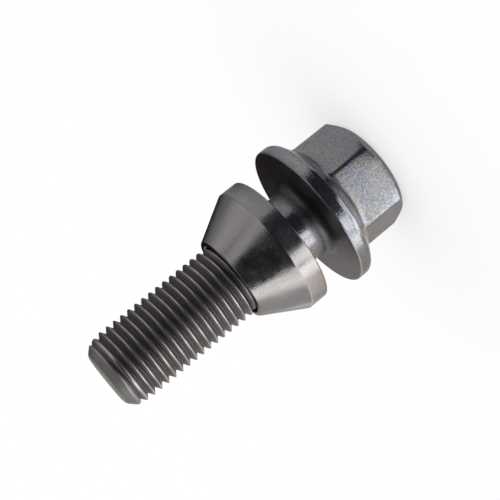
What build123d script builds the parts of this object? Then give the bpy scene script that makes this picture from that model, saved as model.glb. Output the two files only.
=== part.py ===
from build123d import *
import math
import os

# Wheel bolt that stands on its head, with the thread pointing up along +Z.
# The origin is the centre of the head's top face. Sizes are in millimetres and degrees.

# Hexagon head
HEX_ACROSS_FLATS = 19.0
HEX_CORNER_RADIUS = 0.9
HEX_ROOT_RADIUS = 0.8
HEAD_HEIGHT = 14.3
CROWN_DIAMETER = 17.6
CROWN_ANGLE = 40.0

# Flange under the hexagon: a thick rim that rises as a cone to the flats
FLANGE_DIAMETER = 27.7
FLANGE_RIM_HEIGHT = 2.4
FLANGE_CONE_ANGLE = 35.0
FLANGE_FRONT_CHAMFER = 0.35
FLANGE_BACK_RADIUS = 1.2

# Plain neck, which is the bar that the thread is rolled on
NECK_DIAMETER = 13.0
NECK_LENGTH = 17.1
NECK_FILLET_RADIUS = 1.5

# Thread M14 x 1.5, modelled as its crest cylinder
THREAD_DIAMETER = 14.0
THREAD_LENGTH = 26.8
THREAD_RUNOUT_ANGLE = 45.0
THREAD_END_CHAMFER = 2.1

# Loose taper collar: a plain band, then a 60 degree cone
COLLAR_DIAMETER = 24.6
COLLAR_BAND_HEIGHT = 3.5
COLLAR_CONE_HEIGHT = 7.6
COLLAR_CONE_HALF_ANGLE = 30.0
COLLAR_EDGE_CHAMFER = 0.3
COLLAR_BORE_CLEARANCE = 0.4
COLLAR_FILLET_CLEARANCE = 0.3
COLLAR_MOUTH_CHAMFER = 0.5
COLLAR_STANDOFF = 6.1

# Heights and radii that follow from the sizes above
BEARING_Z = HEAD_HEIGHT
RIM_BACK_Z = BEARING_Z - FLANGE_RIM_HEIGHT
THREAD_START_Z = BEARING_Z + NECK_LENGTH
THREAD_END_Z = THREAD_START_Z + THREAD_LENGTH
COLLAR_BACK_Z = BEARING_Z + COLLAR_STANDOFF

FLANGE_RADIUS = FLANGE_DIAMETER / 2
NECK_RADIUS = NECK_DIAMETER / 2
THREAD_RADIUS = THREAD_DIAMETER / 2
COLLAR_RADIUS = COLLAR_DIAMETER / 2
BORE_RADIUS = (NECK_DIAMETER + COLLAR_BORE_CLEARANCE) / 2


def tangent(angle):
    """Tangent of an angle in degrees."""
    return math.tan(math.radians(angle))


def turned(points, rounds=(), bevels=()):
    """Solid of revolution about Z from (radius, height) points, with some corners rounded or bevelled."""
    face = make_face(Polyline(*points, close=True))
    for corner, radius in rounds:
        face = fillet(face.vertices().sort_by_distance(corner)[0], radius)
    for corner, length in bevels:
        face = chamfer(face.vertices().sort_by_distance(corner)[0], length)
    return revolve(Plane.YZ * face, Axis.Z)


def hexagon():
    """Hexagon bar with soft corners, its end crowned by a shallow cone."""
    bar = extrude(RegularPolygon(HEX_ACROSS_FLATS / 2, 6, major_radius=False), RIM_BACK_Z)
    bar = fillet(bar.edges().filter_by(Axis.Z), HEX_CORNER_RADIUS)
    crown_radius = CROWN_DIAMETER / 2
    base_radius = crown_radius + RIM_BACK_Z / tangent(CROWN_ANGLE)
    crown = turned([(0, 0), (crown_radius, 0), (base_radius, RIM_BACK_Z), (0, RIM_BACK_Z)])
    return bar & crown


def flange_and_shank():
    """Flange, neck and thread as one turned form."""
    cone_foot = HEX_ACROSS_FLATS / 2 - HEX_CORNER_RADIUS
    cone_foot_z = RIM_BACK_Z - (FLANGE_RADIUS - cone_foot) * tangent(FLANGE_CONE_ANGLE)
    runout = (THREAD_RADIUS - NECK_RADIUS) / tangent(THREAD_RUNOUT_ANGLE)
    rim_back = (FLANGE_RADIUS, RIM_BACK_Z)
    rim_front = (FLANGE_RADIUS, BEARING_Z)
    neck_root = (NECK_RADIUS, BEARING_Z)
    thread_end = (THREAD_RADIUS, THREAD_END_Z)
    return turned(
        [
            (0, cone_foot_z),
            (cone_foot, cone_foot_z),
            rim_back,
            rim_front,
            neck_root,
            (NECK_RADIUS, THREAD_START_Z),
            (THREAD_RADIUS, THREAD_START_Z + runout),
            thread_end,
            (0, THREAD_END_Z),
        ],
        rounds=[(rim_back, FLANGE_BACK_RADIUS), (neck_root, NECK_FILLET_RADIUS)],
        bevels=[(rim_front, FLANGE_FRONT_CHAMFER), (thread_end, THREAD_END_CHAMFER)],
    )


def bolt():
    """Head, flange, neck and thread, forged as one piece, with a fillet where the flats meet the flange."""
    hexagon_bar = hexagon()
    shank = flange_and_shank()
    joined = hexagon_bar + shank
    root = joined.edges() - hexagon_bar.edges() - shank.edges()
    return fillet(root, HEX_ROOT_RADIUS)


def taper_collar():
    """Loose collar whose bore passes the neck but not the thread, relieved at the back for the neck fillet."""
    relief = NECK_FILLET_RADIUS + COLLAR_FILLET_CLEARANCE
    band_top_z = COLLAR_BACK_Z + COLLAR_BAND_HEIGHT
    nose_z = band_top_z + COLLAR_CONE_HEIGHT
    nose_radius = COLLAR_RADIUS - COLLAR_CONE_HEIGHT * tangent(COLLAR_CONE_HALF_ANGLE)
    back_edge = (COLLAR_RADIUS, COLLAR_BACK_Z)
    band_edge = (COLLAR_RADIUS, band_top_z)
    nose_edge = (nose_radius, nose_z)
    bore_back = (BORE_RADIUS, COLLAR_BACK_Z)
    bore_mouth = (BORE_RADIUS, nose_z)
    return turned(
        [bore_back, back_edge, band_edge, nose_edge, bore_mouth],
        bevels=[
            (bore_back, relief),
            (back_edge, COLLAR_EDGE_CHAMFER),
            (band_edge, COLLAR_EDGE_CHAMFER),
            (nose_edge, COLLAR_EDGE_CHAMFER),
            (bore_mouth, COLLAR_MOUTH_CHAMFER),
        ],
    )


os.makedirs("parts", exist_ok=True)
for name, solid in {"bolt": bolt(), "taper_collar": taper_collar()}.items():
    export_step(solid, f"parts/{name}.step")
    print(name, round(solid.volume, 1), "mm3", solid.bounding_box().size)
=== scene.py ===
# %% [markdown]
# # A wheel bolt with a loose taper collar
#
# A wheel bolt clamps a road wheel to its hub. The bolt itself is one forging: a hexagon head, a round flange,
# a plain neck and a rolled thread. A turned ring with a 60 degree cone slides on the neck and centres the
# wheel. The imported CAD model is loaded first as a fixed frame. Every piece below is made in that frame, in
# metres, so nothing has to be fitted into place afterwards.

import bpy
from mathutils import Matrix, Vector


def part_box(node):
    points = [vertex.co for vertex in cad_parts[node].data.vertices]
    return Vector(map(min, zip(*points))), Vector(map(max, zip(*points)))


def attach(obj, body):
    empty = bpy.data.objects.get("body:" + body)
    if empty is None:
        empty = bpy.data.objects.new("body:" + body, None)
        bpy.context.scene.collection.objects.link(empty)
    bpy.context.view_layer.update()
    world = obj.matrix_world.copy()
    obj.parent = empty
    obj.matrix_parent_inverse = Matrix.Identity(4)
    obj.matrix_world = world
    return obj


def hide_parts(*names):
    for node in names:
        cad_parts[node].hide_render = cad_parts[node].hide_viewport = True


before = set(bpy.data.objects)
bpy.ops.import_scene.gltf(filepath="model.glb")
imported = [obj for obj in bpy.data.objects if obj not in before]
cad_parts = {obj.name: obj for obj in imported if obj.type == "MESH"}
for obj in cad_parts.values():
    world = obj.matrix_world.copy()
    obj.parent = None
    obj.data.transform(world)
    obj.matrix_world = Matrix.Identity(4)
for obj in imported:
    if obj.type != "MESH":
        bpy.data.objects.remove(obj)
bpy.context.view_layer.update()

# %% [markdown]
# ## Sizes
#
# A bolt is drawn in millimetres, so the sizes are written in millimetres and scaled once, where a vertex is
# made. The outer sizes come from the CAD boxes, and the rest are the drawing's own values.

# %% Sizes of the bolt and the collar
import math

import bmesh
import bpy
from mathutils import Matrix, Vector

MM = 0.001
SEGMENTS = 240

bolt_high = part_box("bolt")[1] / MM
collar_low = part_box("taper_collar")[0] / MM
collar_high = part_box("taper_collar")[1] / MM

FLANGE_RADIUS = bolt_high.x
THREAD_END = bolt_high.z
COLLAR_RADIUS = collar_high.x
COLLAR_BACK = collar_low.z
COLLAR_NOSE = collar_high.z

ACROSS_FLATS = 19.0
CORNER_ROUND = 0.9
CROWN_RADIUS = 8.8
CROWN_ANGLE = 40.0
FLANGE_BEARING = 14.3
FLANGE_BACK = 11.9
FLANGE_ANGLE = 35.0
NECK_RADIUS = 6.5
THREAD_START = 31.4
print("flange radius", round(FLANGE_RADIUS, 3), "thread end", round(THREAD_END, 3))

# %% [markdown]
# ## The round blank
#
# The head starts as a round blank. A real one is pressed from bar between dies, so a profile spun round the
# axis is the natural start, where a stack of cylinders would leave seams to hide. Each point of the profile
# keeps a station number, which the spin copies to its whole ring, so a ring of edges can be picked by number
# later.

# %% Spin the blank of head, flange and neck
HALF_SIDE = math.pi / 6
SPIN_MERGE = 0.001


def tangent(angle):
    """Tangent of an angle in degrees."""
    return math.tan(math.radians(angle))


def spin_profile(mesh, points, closed=False):
    """Spin (radius, height) points once round the Z axis, and number the ring that each point makes."""
    station = mesh.verts.layers.int.new("station")
    verts = [mesh.verts.new((radius * MM, 0, height * MM)) for radius, height in points]
    for number, vert in enumerate(verts):
        vert[station] = number
    chain = verts + verts[:1] if closed else verts
    edges = [mesh.edges.new(pair) for pair in zip(chain, chain[1:])]
    bmesh.ops.spin(
        mesh,
        geom=verts + edges,
        axis=(0, 0, 1),
        cent=(0, 0, 0),
        angle=math.tau,
        steps=SEGMENTS,
        use_merge=True,
    )
    bmesh.ops.remove_doubles(mesh, verts=mesh.verts, dist=SPIN_MERGE * MM)


def crown_height(radius):
    """Height of the crown's cone at a radius."""
    return (radius - CROWN_RADIUS) * tangent(CROWN_ANGLE)


def flange_height(radius):
    """Height of the flange's cone at a radius."""
    return FLANGE_BACK - (FLANGE_RADIUS - radius) * tangent(FLANGE_ANGLE)


corner_centre = (ACROSS_FLATS / 2 - CORNER_ROUND) / math.cos(HALF_SIDE)
corner_radius = corner_centre + CORNER_ROUND

TOP, CROWN, WALL_TOP, WALL_ROOT, RIM_BACK, RIM_FRONT, NECK_ROOT, NECK_END = range(8)
bolt_mesh = bmesh.new()
spin_profile(
    bolt_mesh,
    [
        (0, 0),
        (CROWN_RADIUS, 0),
        (corner_radius, crown_height(corner_radius)),
        (corner_radius, flange_height(corner_radius)),
        (FLANGE_RADIUS, FLANGE_BACK),
        (FLANGE_RADIUS, FLANGE_BEARING),
        (NECK_RADIUS, FLANGE_BEARING),
        (NECK_RADIUS, THREAD_START),
    ],
)
print("blank:", len(bolt_mesh.faces), "faces, corner radius", round(corner_radius, 3))

# %% [markdown]
# ## The hexagon
#
# A die presses six flats into the blank. Cutting them with planes would leave ragged curves where flat and
# cone meet. Instead the two rings of the wall are drawn in to a hexagon with round corners, and their heights
# follow the crown's cone and the flange's cone, which gives the real scalloped edge at every flat.

# %% Press the flats


def hexagon_radius(angle):
    """Radius of the round-cornered hexagon at an angle, with a corner on the X axis."""
    from_corner = abs((angle + HALF_SIDE) % (2 * HALF_SIDE) - HALF_SIDE)
    round_end = math.atan2(CORNER_ROUND / 2, corner_centre + CORNER_ROUND * math.cos(HALF_SIDE))
    if from_corner < round_end:
        across = corner_centre * math.sin(from_corner)
        return corner_centre * math.cos(from_corner) + math.sqrt(CORNER_ROUND**2 - across**2)
    return ACROSS_FLATS / 2 / math.cos(HALF_SIDE - from_corner)


station = bolt_mesh.verts.layers.int["station"]
for vert in bolt_mesh.verts:
    if vert[station] in (WALL_TOP, WALL_ROOT):
        angle = math.atan2(vert.co.y, vert.co.x)
        radius = hexagon_radius(angle)
        height = crown_height(radius) if vert[station] == WALL_TOP else flange_height(radius)
        vert.co = Vector((radius * math.cos(angle), radius * math.sin(angle), height)) * MM
print("across flats", ACROSS_FLATS, "across corners", round(2 * corner_radius, 2))

# %% [markdown]
# ## Rounded edges
#
# Forged steel has no sharp edge: metal flows into a die's corner only as far as a small radius. Each ring of
# edges gets a bevel of its own radius. The widest is at the root of the flats, where the die leaves a soft
# fillet. A bevel is given as an offset along the two faces, which follows from the radius and the angle
# between them.

# %% Round the rings of the head


def ring_edges(mesh, number):
    """Edges that run round the ring of one station."""
    layer = mesh.verts.layers.int["station"]
    return [edge for edge in mesh.edges if all(vert[layer] == number for vert in edge.verts)]


def round_ring(mesh, number, radius, angle, segments):
    """Bevel a ring to a radius, where its two faces meet at an angle in degrees."""
    bmesh.ops.bevel(
        mesh,
        geom=ring_edges(mesh, number),
        offset=radius / tangent(angle / 2) * MM,
        affect="EDGES",
        segments=segments,
        profile=0.5,
        material=-1,
    )


round_ring(bolt_mesh, CROWN, radius=1.5, angle=180 - CROWN_ANGLE, segments=6)
round_ring(bolt_mesh, WALL_TOP, radius=0.4, angle=90 + CROWN_ANGLE, segments=4)
round_ring(bolt_mesh, WALL_ROOT, radius=1.8, angle=90 + FLANGE_ANGLE, segments=8)
round_ring(bolt_mesh, RIM_BACK, radius=1.2, angle=90 + FLANGE_ANGLE, segments=8)
round_ring(bolt_mesh, RIM_FRONT, radius=0.35, angle=90, segments=4)
round_ring(bolt_mesh, NECK_ROOT, radius=1.5, angle=90, segments=8)
print("head with rounded edges:", len(bolt_mesh.faces), "faces")

# %% [markdown]
# ## The rolled thread
#
# The thread is M14 with a pitch of 1.5 mm. It is rolled between dies, so its roots and crests are slightly
# round. A bump map would leave the outline smooth, so the thread is real geometry. An outline with every
# pitch of the thread is spun once round the axis while it climbs by one pitch, so that each turn runs into
# the next. A ridge value from 0 at the roots to 1 at the crests goes with it, for the crests' wear and the
# roots' painted shade later on.

# %% Sweep the thread
PITCH = 1.5
CREST_RADIUS = 6.9
ROOT_RADIUS = 6.0
SWEEP_START = 29.45
THREAD = 8
# Place along one pitch and height above the root, as shares: up one flank, over the crest, down the other
RIDGE_UP = ((0.0, 0.0), (0.06, 0.04), (0.25, 0.5), (0.43, 0.94), (0.47, 1.0))
RIDGE_DOWN = ((0.53, 1.0), (0.57, 0.94), (0.75, 0.5), (0.94, 0.04))

ridge = bolt_mesh.verts.layers.float.new("ridge")
station = bolt_mesh.verts.layers.int["station"]
turns = math.ceil((THREAD_END - SWEEP_START) / PITCH)
outline = []
for turn in range(turns):
    for share, grown in RIDGE_UP + RIDGE_DOWN:
        radius = ROOT_RADIUS + (CREST_RADIUS - ROOT_RADIUS) * grown
        vert = bolt_mesh.verts.new((radius * MM, 0, (SWEEP_START + (turn + share) * PITCH) * MM))
        vert[ridge] = grown
        vert[station] = THREAD
        outline.append(vert)
last = bolt_mesh.verts.new((ROOT_RADIUS * MM, 0, (SWEEP_START + turns * PITCH) * MM))
last[station] = THREAD
outline.append(last)
outline += [bolt_mesh.edges.new(pair) for pair in zip(outline, outline[1:])]
bmesh.ops.spin(
    bolt_mesh,
    geom=outline,
    axis=(0, 0, 1),
    cent=(0, 0, 0),
    dvec=(0, 0, PITCH / SEGMENTS * MM),
    angle=math.tau,
    steps=SEGMENTS,
)
print("thread:", turns, "turns, bolt with the sweep:", len(bolt_mesh.faces), "faces")

# %% [markdown]
# The rolling dies fade out towards the neck, and the bar was chamfered before rolling so that the bolt can
# start. So the thread grows out of the neck over a short run-out, its last crests taper, and a cone with a
# round edge limits the end. What the cone cuts gets one middle ridge value, because it is neither root nor
# crest. The sweep ran past both ends on purpose: every vertex beyond an end is held at that end's height, and
# merging what falls together leaves one clean ring there, which closes on the neck.

# %% Shape the ends of the thread and join it to the neck
RUNOUT = 0.7
END_RADIUS = 4.9
END_ROUND = 1.6
END_ANGLE = 45.0
TAPER_RADIUS = 6.12
TAPER_SLOPE = 0.2
CUT_DEPTH = 0.4
CUT_RIDGE = 0.33
END_MERGE = 0.002


def end_limit(depth):
    """Largest radius at a depth below the end: a rounded edge, a 45 degree chamfer, then a slight taper."""
    centre = END_RADIUS - END_ROUND * tangent(END_ANGLE / 2)
    if depth < END_ROUND * (1 - math.cos(math.radians(END_ANGLE))):
        return centre + math.sqrt(END_ROUND**2 - (END_ROUND - depth) ** 2)
    return min(END_RADIUS + depth, TAPER_RADIUS + TAPER_SLOPE * depth)


for vert in bolt_mesh.verts:
    if vert[station] == THREAD:
        radius = math.hypot(vert.co.x, vert.co.y) / MM
        height = min(max(vert.co.z / MM, THREAD_START), THREAD_END)
        grown = min((height - THREAD_START) / RUNOUT, 1)
        shaped = NECK_RADIUS + (radius - NECK_RADIUS) * grown
        limit = end_limit(THREAD_END - height)
        if shaped > limit and limit < CREST_RADIUS - CUT_DEPTH:
            vert[ridge] = CUT_RIDGE
        shaped = min(shaped, limit)
        vert.co = Vector((vert.co.x * shaped / radius, vert.co.y * shaped / radius, height * MM))

bmesh.ops.remove_doubles(bolt_mesh, verts=bolt_mesh.verts, dist=END_MERGE * MM)
end_ring = [edge for edge in bolt_mesh.edges if edge.is_boundary]
bmesh.ops.holes_fill(bolt_mesh, edges=end_ring, sides=0)
open_edges = [edge for edge in bolt_mesh.edges if not edge.is_manifold]
print("bolt:", len(bolt_mesh.faces), "faces,", len(open_edges), "open edges")

# %% [markdown]
# ## From mesh to piece
#
# A finished mesh becomes an object at the origin. It rides on its CAD body and stands for its CAD node.
# Weighted normals keep large faces flat beside their small bevels. On the bolt, the faces of the thread take
# a second material, because rolling leaves another finish than forging.

# %% Make the bolt a piece


def make_piece(name, mesh, body, node):
    """Turn a mesh into an object that rides on a body and replaces a CAD node."""
    bmesh.ops.recalc_face_normals(mesh, faces=mesh.faces)
    for face in mesh.faces:
        face.smooth = True
    data = bpy.data.meshes.new(name)
    mesh.to_mesh(data)
    mesh.free()
    piece = bpy.data.objects.new(name, data)
    bpy.context.scene.collection.objects.link(piece)
    piece.modifiers.new("flat_faces", "WEIGHTED_NORMAL")
    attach(piece, body)
    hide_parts(node)
    return piece


for face in bolt_mesh.faces:
    face.material_index = 1 if face.calc_center_median().z > THREAD_START * MM else 0
bolt = make_piece("forged_bolt", bolt_mesh, "bolt", "bolt")
print(bolt.name, "has", len(bolt.data.polygons), "faces")

# %% [markdown]
# ## The taper collar
#
# The collar is turned on a lathe: a short band, then the cone that sits in the wheel's seat. Its bore passes
# the neck but not the thread, and its back is relieved so that it clears the neck's fillet. A closed profile
# is spun once, and the edges are broken with small bevels, as is done on the lathe with a file.

# %% Spin the collar
BAND_HEIGHT = 3.5
CONE_HALF_ANGLE = 30.0
BORE_RADIUS = 6.7
BACK_RELIEF = 1.8

band_top = COLLAR_BACK + BAND_HEIGHT
nose_radius = COLLAR_RADIUS - (COLLAR_NOSE - band_top) * tangent(CONE_HALF_ANGLE)
RELIEF, BACK_EDGE, BAND_EDGE, NOSE_EDGE, BORE_MOUTH, BORE_BACK = range(6)
collar_mesh = bmesh.new()
spin_profile(
    collar_mesh,
    [
        (BORE_RADIUS + BACK_RELIEF, COLLAR_BACK),
        (COLLAR_RADIUS, COLLAR_BACK),
        (COLLAR_RADIUS, band_top),
        (nose_radius, COLLAR_NOSE),
        (BORE_RADIUS, COLLAR_NOSE),
        (BORE_RADIUS, COLLAR_BACK + BACK_RELIEF),
    ],
    closed=True,
)
round_ring(collar_mesh, BACK_EDGE, radius=0.3, angle=90, segments=4)
round_ring(collar_mesh, BAND_EDGE, radius=0.4, angle=180 - CONE_HALF_ANGLE, segments=3)
round_ring(collar_mesh, NOSE_EDGE, radius=0.3, angle=90 + CONE_HALF_ANGLE, segments=4)
round_ring(collar_mesh, BORE_MOUTH, radius=0.5, angle=90, segments=4)
collar = make_piece("turned_taper_collar", collar_mesh, "collar", "taper_collar")
print(collar.name, "has", len(collar.data.polygons), "faces, nose radius", round(nose_radius, 2))

# %% [markdown]
# ## Materials
#
# One function turns an sRGB hex value to linear, and one adds a node with its settings and links. Object
# coordinates are in metres, so a pattern of some millimetres needs a scale of 1000 divided by those
# millimetres.

# %% Helpers for materials


def colour(code):
    """Linear colour with alpha from an sRGB hex value."""
    parts = [int(code[place : place + 2], 16) / 255 for place in (1, 3, 5)]
    linear = [part / 12.92 if part <= 0.04045 else ((part + 0.055) / 1.055) ** 2.4 for part in parts]
    return linear + [1.0]


def add_node(tree, kind, inputs=None, **settings):
    """Add a node, set its properties, and fill its inputs with values or with links from other sockets."""
    node = tree.nodes.new(kind)
    for name, value in settings.items():
        setattr(node, name, value)
    for name, value in (inputs or {}).items():
        if isinstance(value, bpy.types.NodeSocket):
            tree.links.new(value, node.inputs[name])
        else:
            node.inputs[name].default_value = value
    return node


def new_material(name):
    """A node material, its tree and its Principled shader."""
    material = bpy.data.materials.new(name)
    material.use_nodes = True
    return material, material.node_tree, material.node_tree.nodes["Principled BSDF"]


# A Mix node has a pair of sockets for every kind of value, so its colour sockets are picked by number.
MIX_A, MIX_B, MIX_RESULT = 6, 7, 2
print("a steel of #7C7B7C reflects", round(colour("#7C7B7C")[0], 2), "of the light")

# %% [markdown]
# ### Plated forged steel
#
# The head is forged steel with a thin zinc plating. Plating keeps the forging's fine grain, so the flats look
# sandy and sparkle a little, with cool and warm patches where the layer is thicker or thinner. The flange and
# the neck were ironed by the dies, so they are smoother. A plain grey metal would look like plastic, so noise
# at two scales drives the colour, the roughness and a shallow bump. The real grain is about 0.05 mm; it is
# drawn at 0.32 mm so that it shows in the render.

# %% Grain and patches of the plated steel
PATCH_SIZE = 2.4
GRAIN_SIZE = 0.32
FLAT_FOOT = 9.5
FLANGE_FOOT = 11.5
# Span of values that most of a noise falls in
NOISE_SPAN = (0.3, 0.7)
# Share of the grain that ironing takes away, and the least and most light that a grain reflects
IRONED = 0.35
SPECKLE = (0.65, 1.35)

plated, tree, shader = new_material("zinc_plated_forged_steel")
place = add_node(tree, "ShaderNodeTexCoord").outputs["Object"]
height = add_node(tree, "ShaderNodeSeparateXYZ", {"Vector": place}).outputs["Z"]
patches = add_node(
    tree,
    "ShaderNodeTexNoise",
    {"Vector": place, "Scale": 1000 / PATCH_SIZE, "Detail": 2.0, "Roughness": 0.5},
)
sand = add_node(
    tree,
    "ShaderNodeTexNoise",
    {"Vector": place, "Scale": 1000 / GRAIN_SIZE, "Detail": 2.0, "Roughness": 0.6},
)
ironed = add_node(
    tree,
    "ShaderNodeMapRange",
    {"Value": height, "From Min": FLAT_FOOT * MM, "From Max": FLANGE_FOOT * MM, "To Max": IRONED},
)
grain = add_node(
    tree, "ShaderNodeMix", {"Factor": ironed.outputs["Result"], "A": sand.outputs["Fac"], "B": 0.5}
).outputs["Result"]
warmth = add_node(
    tree,
    "ShaderNodeMapRange",
    {"Value": patches.outputs["Fac"], "From Min": NOISE_SPAN[0], "From Max": NOISE_SPAN[1]},
)
tone = add_node(
    tree,
    "ShaderNodeMix",
    {"Factor": warmth.outputs["Result"], MIX_A: colour("#73777F"), MIX_B: colour("#7F7C7A")},
    data_type="RGBA",
)
speckle = add_node(
    tree,
    "ShaderNodeMapRange",
    {
        "Value": grain,
        "From Min": NOISE_SPAN[0],
        "From Max": NOISE_SPAN[1],
        "To Min": SPECKLE[0],
        "To Max": SPECKLE[1],
    },
)
speckled = add_node(
    tree,
    "ShaderNodeVectorMath",
    {0: tone.outputs[MIX_RESULT], "Scale": speckle.outputs["Result"]},
    operation="SCALE",
)
print("grain of", GRAIN_SIZE, "mm in patches of", PATCH_SIZE, "mm")

# %% [markdown]
# The plating isn't equally bright all the way along. The cone behind the flange's rim is painted lighter, a
# painted highlight for light that it catches, and the corner where the neck meets the flange is painted
# darker, a painted shade in the recess between them. Both are rings, so one curve over the height is enough
# to draw them.

# %% Painted light and shade along the bolt
PAINTED_LENGTH = 20.0
PAINTED_TOP = 3.0
# Height along the bolt in mm, and the colour's brightness there as a share of the plain plating's
# Painted highlight on the cone behind the rim, and painted shade in the corner between neck and flange
PAINTED_LIGHT_CONE = ((9.4, 1.0), (10.2, 2.3), (11.2, 2.3), (11.9, 1.0))
PAINTED_SHADE_CORNER = ((14.4, 1.0), (14.6, 0.42), (15.7, 0.42), (17.1, 1.0))

along = add_node(tree, "ShaderNodeMapRange", {"Value": height, "From Max": PAINTED_LENGTH * MM})
painted_light_and_shade = add_node(tree, "ShaderNodeFloatCurve", {"Value": along.outputs["Result"]})
curve = painted_light_and_shade.mapping.curves[0]
for point in curve.points:
    point.location.y = 1 / PAINTED_TOP
for spot, level in PAINTED_LIGHT_CONE + PAINTED_SHADE_CORNER:
    curve.points.new(spot / PAINTED_LENGTH, level / PAINTED_TOP)
for point in curve.points:
    point.handle_type = "VECTOR"
painted_light_and_shade.mapping.update()
painted_light_and_shade_scale = add_node(tree, "ShaderNodeMath", {0: painted_light_and_shade.outputs["Value"], 1: PAINTED_TOP}, operation="MULTIPLY")
toned = add_node(
    tree,
    "ShaderNodeVectorMath",
    {0: speckled.outputs["Vector"], "Scale": painted_light_and_shade_scale.outputs["Value"]},
    operation="SCALE",
)
print("film with", len(curve.points), "points along", PAINTED_LENGTH, "mm")

# %% [markdown]
# The flats are satin and the flange is smoother, so the roughness falls where the flats end. It rises again
# in the neck's corner, which is dull. The grain adds a little roughness and a bump, and a tint keeps the
# metal's edges from mirroring pure white.

# %% Roughness and bump of the plated steel
FLAT_ROUGHNESS = 0.24
FLANGE_ROUGHNESS = 0.13
GRAIN_ROUGHNESS = 0.14
GRAIN_DEPTH = 0.05
DULL_HEIGHT = 15.6
DULL_HALF = 1.0
DULL_FADE = 1.8
DULL_ROUGHNESS = 0.24
EDGE_TINT = "#DADADA"

sandy = add_node(
    tree,
    "ShaderNodeMapRange",
    {
        "Value": height,
        "From Min": FLAT_FOOT * MM,
        "From Max": FLANGE_FOOT * MM,
        "To Min": FLAT_ROUGHNESS,
        "To Max": FLANGE_ROUGHNESS,
    },
)
from_dull = add_node(tree, "ShaderNodeMath", {0: height, 1: DULL_HEIGHT * MM}, operation="SUBTRACT")
beside_dull = add_node(tree, "ShaderNodeMath", {0: from_dull.outputs["Value"]}, operation="ABSOLUTE")
dull = add_node(
    tree,
    "ShaderNodeMapRange",
    {
        "Value": beside_dull.outputs["Value"],
        "From Min": DULL_HALF * MM,
        "From Max": DULL_FADE * MM,
        "To Min": DULL_ROUGHNESS,
        "To Max": 0.0,
    },
)
base_roughness = add_node(
    tree, "ShaderNodeMath", {0: sandy.outputs["Result"], 1: dull.outputs["Result"]}, operation="ADD"
)
roughness = add_node(
    tree,
    "ShaderNodeMath",
    {0: grain, 1: GRAIN_ROUGHNESS, 2: base_roughness.outputs["Value"]},
    operation="MULTIPLY_ADD",
)
bump = add_node(
    tree, "ShaderNodeBump", {"Height": grain, "Distance": GRAIN_DEPTH * MM, "Strength": 1.0}
)
shader.inputs["Metallic"].default_value = 1.0
shader.inputs["Specular Tint"].default_value = colour(EDGE_TINT)
tree.links.new(toned.outputs["Vector"], shader.inputs["Base Color"])
tree.links.new(roughness.outputs["Value"], shader.inputs["Roughness"])
tree.links.new(bump.outputs["Normal"], shader.inputs["Normal"])
bolt.data.materials.append(plated)
print("plated steel:", len(tree.nodes), "nodes")

# %% [markdown]
# ### Rolled thread with painted root shade
#
# Rolling burnishes the crests, which then wear bright in patches, and the roots are painted darker, a painted
# shade for the deep roots that light hardly reaches. The ridge value that was swept along with the outline
# tells root from crest on every turn, which a pattern in space couldn't follow so cleanly.

# %% Painted shade in the roots and worn crests of the thread
STAIN_SPAN = (0.35, 0.65)
# Ridge values between which a crest's wear grows, and its least share in the dark patches
WORN = (0.74, 0.96)
LEAST_WEAR = 0.4
FLANK_MIDDLE = 0.5
ROOT_SHADE = 0.55

thread_steel, tree, shader = new_material("rolled_thread_painted_root_shade")
place = add_node(tree, "ShaderNodeTexCoord").outputs["Object"]
crest = add_node(tree, "ShaderNodeAttribute", attribute_name="ridge").outputs["Fac"]
stain = add_node(
    tree,
    "ShaderNodeTexNoise",
    {"Vector": place, "Scale": 1000 / PATCH_SIZE, "Detail": 4.0, "Roughness": 0.6},
).outputs["Fac"]
warmth = add_node(
    tree, "ShaderNodeMapRange", {"Value": stain, "From Min": STAIN_SPAN[0], "From Max": STAIN_SPAN[1]}
)
flank = add_node(
    tree,
    "ShaderNodeMix",
    {"Factor": warmth.outputs["Result"], MIX_A: colour("#787378"), MIX_B: colour("#807978")},
    data_type="RGBA",
)
rubbed = add_node(tree, "ShaderNodeMapRange", {"Value": crest, "From Min": WORN[0], "From Max": WORN[1]})
patchy = add_node(
    tree,
    "ShaderNodeMapRange",
    {"Value": stain, "From Min": STAIN_SPAN[0], "From Max": STAIN_SPAN[1], "To Min": LEAST_WEAR},
)
wear = add_node(
    tree, "ShaderNodeMath", {0: rubbed.outputs["Result"], 1: patchy.outputs["Result"]}, operation="MULTIPLY"
)
worn = add_node(
    tree,
    "ShaderNodeMix",
    {"Factor": wear.outputs["Value"], MIX_A: flank.outputs[MIX_RESULT], MIX_B: colour("#A09E9C")},
    data_type="RGBA",
)
# Painted shade: the colour darkens towards the roots, down to ROOT_SHADE of itself
depth = add_node(
    tree, "ShaderNodeMapRange", {"Value": crest, "From Max": FLANK_MIDDLE, "To Min": ROOT_SHADE}
)
shaded = add_node(
    tree,
    "ShaderNodeVectorMath",
    {0: worn.outputs[MIX_RESULT], "Scale": depth.outputs["Result"]},
    operation="SCALE",
)
print("crests worn from a ridge value of", WORN[0], "up")

# %% [markdown]
# The chamfer at the end was turned, and it is painted lighter than the flanks, a painted highlight for the
# light that it catches. The end was cropped from the bar, which leaves it rough, and it is painted lighter
# still. Both are bands at a depth below the end.
# The crests are smoother than the flanks, since the dies and the hub's thread polish them.

# %% Painted light on the turned chamfer and the cropped end, and polish of the thread
# Depths below the end between which the chamfer's painted light and the end's painted light and roughness set
# in
CHAMFER_DEPTHS = (1.8, 1.5)
CROP_DEPTHS = (0.4, 0.1)
CROP_ROUGHNESS = 0.3
POLISHED = (0.8, 1.0)
FLANK_ROUGHNESS = 0.5
CREST_ROUGHNESS = 0.26

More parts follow.
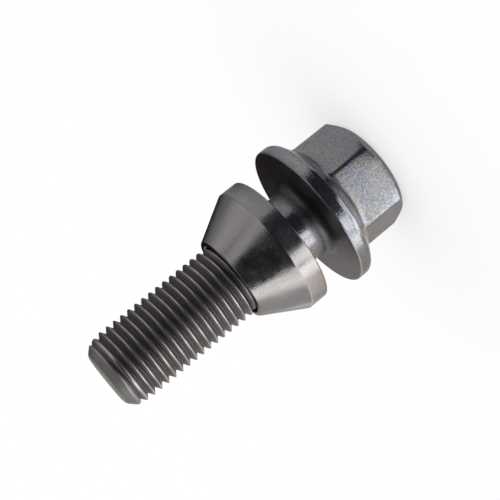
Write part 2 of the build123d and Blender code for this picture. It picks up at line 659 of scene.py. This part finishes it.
height = add_node(tree, "ShaderNodeSeparateXYZ", {"Vector": place}).outputs["Z"]
chamfer_painted_light, crop_and_painted_light = [
    add_node(
        tree,
        "ShaderNodeMapRange",
        {"Value": height, "From Min": (THREAD_END - deep) * MM, "From Max": (THREAD_END - shallow) * MM},
    ).outputs["Result"]
    for deep, shallow in (CHAMFER_DEPTHS, CROP_DEPTHS)
]
# Painted light: the chamfer and the end take lighter colours than the flanks
chamfer_painted_light_mix = add_node(
    tree,
    "ShaderNodeMix",
    {"Factor": chamfer_painted_light, MIX_A: shaded.outputs["Vector"], MIX_B: colour("#8E8C8A")},
    data_type="RGBA",
)
end_painted_light_mix = add_node(
    tree,
    "ShaderNodeMix",
    {"Factor": crop_and_painted_light, MIX_A: chamfer_painted_light_mix.outputs[MIX_RESULT], MIX_B: colour("#BBB7B2")},
    data_type="RGBA",
)
polish = add_node(
    tree,
    "ShaderNodeMapRange",
    {
        "Value": crest,
        "From Min": POLISHED[0],
        "From Max": POLISHED[1],
        "To Min": FLANK_ROUGHNESS,
        "To Max": CREST_ROUGHNESS,
    },
)
roughness = add_node(
    tree,
    "ShaderNodeMath",
    {0: crop_and_painted_light, 1: CROP_ROUGHNESS, 2: polish.outputs["Result"]},
    operation="MULTIPLY_ADD",
)
shader.inputs["Metallic"].default_value = 1.0
shader.inputs["Specular Tint"].default_value = colour(EDGE_TINT)
tree.links.new(end_painted_light_mix.outputs[MIX_RESULT], shader.inputs["Base Color"])
tree.links.new(roughness.outputs["Value"], shader.inputs["Roughness"])
bolt.data.materials.append(thread_steel)
print("thread:", len(tree.nodes), "nodes")

# %% [markdown]
# ### Turned steel
#
# The collar is bare turned steel. Handling leaves cloudy patches some millimetres wide, and the bore is
# painted darker, a painted shade for the narrow gap round the thread. The bore is round, so the painted
# shade can be drawn by the distance from the axis, and needs no material of its own.

# %% Tones of the turned collar, and painted shade in its bore
CLOUD_SIZE = 4.0
PAINTED_BORE_WIDTHS = (0.5, 0.9)
PAINTED_BORE_SHADE = 0.2

turned, tree, shader = new_material("turned_bright_steel")
place = add_node(tree, "ShaderNodeTexCoord").outputs["Object"]
clouds = add_node(
    tree,
    "ShaderNodeTexNoise",
    {"Vector": place, "Scale": 1000 / CLOUD_SIZE, "Detail": 5.0, "Roughness": 0.65},
)
tone = add_node(
    tree,
    "ShaderNodeMix",
    {"Factor": clouds.outputs["Fac"], MIX_A: colour("#7C7B7C"), MIX_B: colour("#878380")},
    data_type="RGBA",
)
flat_place = add_node(tree, "ShaderNodeVectorMath", {0: place, 1: (1, 1, 0)}, operation="MULTIPLY")
from_axis = add_node(tree, "ShaderNodeVectorMath", {0: flat_place.outputs["Vector"]}, operation="LENGTH")
# Painted shade in the bore and its mouth, darker nearer the axis
painted_bore_shade_mask = add_node(
    tree,
    "ShaderNodeMapRange",
    {
        "Value": from_axis.outputs["Value"],
        "From Min": (BORE_RADIUS + PAINTED_BORE_WIDTHS[0]) * MM,
        "From Max": (BORE_RADIUS + PAINTED_BORE_WIDTHS[1]) * MM,
        "To Min": PAINTED_BORE_SHADE,
    },
)
bore_with_painted_shade = add_node(
    tree,
    "ShaderNodeVectorMath",
    {0: tone.outputs[MIX_RESULT], "Scale": painted_bore_shade_mask.outputs["Result"]},
    operation="SCALE",
)
print("oil reaches", PAINTED_BORE_WIDTHS[1], "mm past the bore")

# %% [markdown]
# The tool leaves fine rings round the axis, which smear reflections along the cone but keep them crisp around
# it. A noise in one dimension, along the axis, gives such rings. The real feed is about 0.1 mm; the rings are
# drawn at 0.35 mm so that they show. Tiny pits, as coarse as the forging's grain, break the highlight up.

# %% Rings and pits of the turned collar
RING_SPACING = 0.35
RING_DEPTH = 0.001
PIT_DEPTH = 0.014
COLLAR_ROUGHNESS = (0.14, 0.32)

height = add_node(tree, "ShaderNodeSeparateXYZ", {"Vector": place}).outputs["Z"]
rings = add_node(
    tree,
    "ShaderNodeTexNoise",
    {"W": height, "Scale": 1000 / RING_SPACING, "Detail": 2.0},
    noise_dimensions="1D",
)
roughness = add_node(
    tree,
    "ShaderNodeMapRange",
    {
        "Value": clouds.outputs["Fac"],
        "From Min": STAIN_SPAN[0],
        "From Max": STAIN_SPAN[1],
        "To Min": COLLAR_ROUGHNESS[0],
        "To Max": COLLAR_ROUGHNESS[1],
    },
)
pits = add_node(tree, "ShaderNodeTexNoise", {"Vector": place, "Scale": 1000 / GRAIN_SIZE, "Detail": 1.0})
pitted = add_node(
    tree, "ShaderNodeBump", {"Height": pits.outputs["Fac"], "Distance": PIT_DEPTH * MM, "Strength": 1.0}
)
bump = add_node(
    tree,
    "ShaderNodeBump",
    {
        "Height": rings.outputs["Fac"],
        "Distance": RING_DEPTH * MM,
        "Strength": 1.0,
        "Normal": pitted.outputs["Normal"],
    },
)
shader.inputs["Metallic"].default_value = 1.0
shader.inputs["Specular Tint"].default_value = colour(EDGE_TINT)
tree.links.new(bore_with_painted_shade.outputs["Vector"], shader.inputs["Base Color"])
tree.links.new(roughness.outputs["Result"], shader.inputs["Roughness"])
tree.links.new(bump.outputs["Normal"], shader.inputs["Normal"])
collar.data.materials.append(turned)
print("collar:", len(tree.nodes), "nodes")

# %% [markdown]
# ## The studio
#
# The bolt stands on its head on white paper under an even white sky, as in a light tent. The paper is partly
# lit of itself for the camera and for reflections, so that it looks white and still keeps the bolt's shadow.

# %% Paper floor and white sky
FLOOR_RADIUS = 3.0
FLOOR_SIDES = 96
PAPER_GLOW = 0.6


def add_stage(name, mesh, material):
    """Turn a mesh into an object of the stage, which isn't part of the bolt."""
    data = bpy.data.meshes.new(name)
    mesh.to_mesh(data)
    mesh.free()
    data.materials.append(material)
    thing = bpy.data.objects.new(name, data)
    bpy.context.scene.collection.objects.link(thing)
    return thing


paper, tree, shader = new_material("matt_white_paper")
shader.inputs["Base Color"].default_value = colour("#FFFFFF")
shader.inputs["Roughness"].default_value = 1.0
shader.inputs["Specular IOR Level"].default_value = 0.0
glow = add_node(tree, "ShaderNodeEmission", {"Color": colour("#FFFFFF"), "Strength": 1.0})
path = add_node(tree, "ShaderNodeLightPath")
mirrored = add_node(
    tree,
    "ShaderNodeMath",
    {0: path.outputs["Is Glossy Ray"], 1: path.outputs["Is Transmission Ray"]},
    operation="ADD",
)
seen = add_node(
    tree,
    "ShaderNodeMath",
    {0: path.outputs["Is Camera Ray"], 1: mirrored.outputs["Value"]},
    operation="ADD",
)
share = add_node(tree, "ShaderNodeMath", {0: seen.outputs["Value"], 1: PAPER_GLOW}, operation="MULTIPLY")
lit = add_node(
    tree,
    "ShaderNodeMixShader",
    {0: share.outputs["Value"], 1: shader.outputs["BSDF"], 2: glow.outputs["Emission"]},
)
tree.links.new(lit.outputs["Shader"], tree.nodes["Material Output"].inputs["Surface"])
floor_mesh = bmesh.new()
bmesh.ops.create_circle(floor_mesh, cap_ends=True, radius=FLOOR_RADIUS, segments=FLOOR_SIDES)
add_stage("floor", floor_mesh, paper)

world = bpy.data.worlds.new("white_sky")
world.use_nodes = True
sky = world.node_tree.nodes["Background"]
sky.inputs["Color"].default_value = colour("#FFFFFF")
sky.inputs["Strength"].default_value = 1.0
bpy.context.scene.world = world
print("floor of", 2 * FLOOR_RADIUS, "m across")

# %% [markdown]
# ## Cards round the bolt
#
# In a light tent, bright metal mirrors only white and looks flat. So graded cards stand round it, as in any
# shot of metal, and are seen only in reflections. Each card is a grid bent round the axis. Its sides are
# angles from the camera's direction, and its level of light runs from one side to the other. A round surface
# mirrors the floor at a distance that grows with its height, so the floor is divided at the reach of each
# surface.

# %% A graded card
CAMERA_SIDE = -76.5
CARD_COLUMNS = 16
# Radii on the floor in mm, at which what the flats, the rim, the neck and the collar mirror begins or ends
FOOT = 11.5
FLAT_REACH = 30.0
SIDE_REACH = 40.0
RIM_START = 48.0
NECK_START = 60.0
RIM_REACH = 80.0
NECK_REACH = 86.0
LEFT_REACH = 108.0
BAND_REACH = 110.0
BEND = 150.0
# Heights in mm: the floor cards, the strip over them, and the walls' tops
LOW = 0.4
STRIP = 2 * LOW
TALL = 260.0
COOL = "#E6E6FF"
WARM = "#FFF8F2"


def add_card(name, rows, levels, tint="#FFFFFF"):
    """A graded card, seen only in reflections, through rows of radius, height and a pair of side angles."""
    mesh = bmesh.new()
    across = mesh.verts.layers.float.new("across")
    bmesh.ops.create_grid(mesh, x_segments=CARD_COLUMNS, y_segments=len(rows) - 1, size=0.5)
    for vert in mesh.verts:
        vert[across] = vert.co.x + 0.5
        radius, height, sides = rows[round((vert.co.y + 0.5) * (len(rows) - 1))]
        side = math.radians(CAMERA_SIDE + sides[0] + (sides[1] - sides[0]) * vert[across])
        vert.co = Vector((radius * math.cos(side), radius * math.sin(side), height)) * MM
    finish, tree, shader = new_material(name)
    place = add_node(tree, "ShaderNodeAttribute", attribute_name="across").outputs["Fac"]
    level = add_node(tree, "ShaderNodeMapRange", {"Value": place, "To Min": levels[0], "To Max": levels[1]})
    shader.inputs["Base Color"].default_value = colour("#000000")
    shader.inputs["Specular IOR Level"].default_value = 0.0
    shader.inputs["Emission Color"].default_value = colour(tint)
    tree.links.new(level.outputs["Result"], shader.inputs["Emission Strength"])
    card = add_stage(name, mesh, finish)
    card.visible_camera = False
    card.visible_diffuse = False
    card.visible_shadow = False
    print(name, len(card.data.vertices), "vertices, level", levels)


print("floor cards reach", BEND, "mm, and the walls stand", TALL, "mm high")

# %% [markdown]
# A black card on the camera's side gives every round surface its dark core. Beside it on the floor lie the
# cards that the three flats in view mirror: the middle flat is the brightest.

# %% Black cards and cards for the flats
black = [
    (FOOT, LOW, (43, -3)),
    (FLAT_REACH, LOW, (43, -8)),
    (RIM_START, LOW, (43, -25)),
    (BEND, LOW, (41, -28)),
]
add_card("black_floor_card", black, (0.05, 0.11), COOL)
add_card("black_wall_card", [(BEND, LOW, (41, -28)), (BEND, TALL, (26, -84))], (0.03, 0.05), COOL)
middle = [(FOOT, LOW, (-3, -30)), (FLAT_REACH, LOW, (-8, -37)), (RIM_START, LOW, (-25, -48))]
add_card("flat_card", middle, (1.9, 2.5))
add_card("flat_card_left", [(FOOT, LOW, (44, 96)), (SIDE_REACH, LOW, (44, 96))], (0.85, 0.8))
right = [(FOOT, LOW, (-56, -148)), (FLAT_REACH, LOW, (-58, -148)), (SIDE_REACH, LOW, (-67, -148))]
add_card("flat_card_right", right, (1.0, 0.93), WARM)

# %% [markdown]
# Bright cards in two columns give the long highlight to the right of the dark core. White paper shows between
# the columns, which splits the highlight in two. They lean away from the camera as they rise, because a cone
# mirrors the wall further round than a cylinder mirrors the floor.

# %% Bright cards
near_floor = [(RIM_START, LOW, (-25, -48)), (RIM_REACH, LOW, (-26, -47))]
add_card("near_floor_card", near_floor, (3.4, 5.2))
add_card("far_edge_card", [(RIM_REACH, LOW, (-26, -47)), (BEND, LOW, (-28, -46))], (2.4, 3.0))
add_card("near_wall_card", [(BEND, LOW, (-28, -46)), (BEND, TALL, (-84, -93))], (2.4, 3.6))
far_floor = [
    (FOOT, LOW, (-31, -56)),
    (FLAT_REACH, LOW, (-40, -58)),
    (RIM_START, LOW, (-56, -74)),
    (BEND, LOW, (-52, -77)),
]
add_card("far_floor_card", far_floor, (4.8, 2.8))
add_card("far_wall_card", [(BEND, LOW, (-52, -77)), (BEND, TALL, (-93, -118))], (3.6, 2.0))

# %% [markdown]
# On the right, warm cards fade the highlight out to the edge, brighter for the collar's band and for the
# thread than for the rim and the neck.

# %% Warm cards on the right
THREAD_TOP = 40.0

add_card("warm_card", [(SIDE_REACH, LOW, (-76, -148)), (RIM_REACH, LOW, (-78, -148))], (1.1, 0.78), WARM)
warm_outer = [(RIM_REACH, LOW, (-78, -148)), (BAND_REACH, LOW, (-79, -148))]
add_card("warm_outer_card", warm_outer, (1.75, 0.8), WARM)
outer = [(BAND_REACH, LOW, (-79, -148)), (BEND, LOW, (-80, -148)), (BEND, THREAD_TOP, (-80, -148))]
add_card("thread_card", outer, (2.8, 2.0), WARM)

# %% [markdown]
# On the left, grey cards fall off towards the back. Two narrow strips dim what the neck and its corner
# mirror, since the real neck is darker there than the rim and the collar.

# %% Grey cards on the left
STRIP_RADIUS = 149.0
STRIP_HEIGHTS = (36.0, 64.0)

add_card("graded_floor_card", [(FOOT, LOW, (96, 150)), (BEND, LOW, (92, 150))], (1.05, 0.4))
add_card("graded_wall_card", [(BEND, LOW, (92, 150)), (BEND, TALL, (92, 150))], (1.05, 0.1))
fillet = [(STRIP_RADIUS, height, (50, 122)) for height in STRIP_HEIGHTS]
add_card("fillet_strip", fillet, (0.12, 0.05))
add_card("left_floor_card", [(SIDE_REACH, LOW, (44, 96)), (LEFT_REACH, LOW, (44, 93))], (1.3, 1.25))
add_card("left_outer_card", [(LEFT_REACH, LOW, (44, 93)), (BEND, LOW, (44, 92))], (0.45, 0.4))
add_card("grey_strip", [(NECK_START, STRIP, (44, 150)), (NECK_REACH, STRIP, (44, 150))], (0.34, 0.0))

# %% [markdown]
# Behind the bolt, a dark wall is mirrored in the flange's face and a grey one lights that face on the right.
# Dim cards overhead keep the thread's upper flanks and the neck's corner from turning white.

# %% Cards behind and above
GREY_TOP = 120.0
CEILING = 300.0
CEILING_HOLE = 5.0
CEILING_REACH = 330.0
SAND = "#FFF6F0"
ROSE = "#FFB4C0"

add_card("dim_floor_card", [(FOOT, LOW, (150, 182)), (BEND, LOW, (150, 182))], (0.4, 0.5), SAND)
add_card("dark_wall_card", [(BEND, LOW, (150, 182)), (BEND, TALL, (150, 182))], (0.03, 0.02), ROSE)
add_card("grey_floor_card", [(FOOT, LOW, (182, 212)), (BEND, LOW, (182, 212))], (0.5, 0.95), SAND)
add_card("grey_wall_card", [(BEND, LOW, (182, 212)), (BEND, GREY_TOP, (182, 212))], (0.78, 0.95), SAND)
add_card("upper_wall_card", [(BEND, GREY_TOP, (182, 230)), (BEND, CEILING, (182, 230))], (0.35, 0.35))
over_left = [(CEILING_HOLE, CEILING, (60, 200)), (CEILING_REACH, CEILING, (60, 200))]
add_card("ceiling_card_left", over_left, (0.25, 0.1))
over_right = [(CEILING_HOLE, CEILING, (60, -160)), (CEILING_REACH, CEILING, (20, -160))]
add_card("ceiling_card_right", over_right, (0.3, 0.25))

# %% [markdown]
# ## The camera
#
# The camera stands where the photograph was taken from. Its place, heading, dip and roll come from a fit of
# the bolt's outlines in the picture: about 18 cm away, slightly above the collar, and turned so that the
# thread points to the lower left. The focal length was fitted in pixels, and a lens in millimetres follows
# from the sensor's width.

# %% Camera at the photograph's view
PHOTO_SIZE = 500
PHOTO_FOCAL = 1100
SENSOR_WIDTH = 36.0
CLIP_START = 0.01
CAMERA_PLACE = Vector((44.58, -177.93, 65.64))
HEADING = 13.5
DIP = 12.3
ROLL = -128.96

camera_data = bpy.data.cameras.new("camera")
camera_data.sensor_width = SENSOR_WIDTH
camera_data.lens = SENSOR_WIDTH * PHOTO_FOCAL / PHOTO_SIZE
camera_data.clip_start = CLIP_START
camera = bpy.data.objects.new("camera", camera_data)
bpy.context.scene.collection.objects.link(camera)
bpy.context.scene.camera = camera
camera.matrix_world = (
    Matrix.Translation(CAMERA_PLACE * MM)
    @ Matrix.Rotation(math.radians(HEADING), 4, "Z")
    @ Matrix.Rotation(math.radians(90 - DIP), 4, "X")
    @ Matrix.Rotation(math.radians(ROLL), 4, "Z")
)
bpy.context.scene.view_settings.view_transform = "Standard"
print("lens", round(camera_data.lens, 1), "mm")
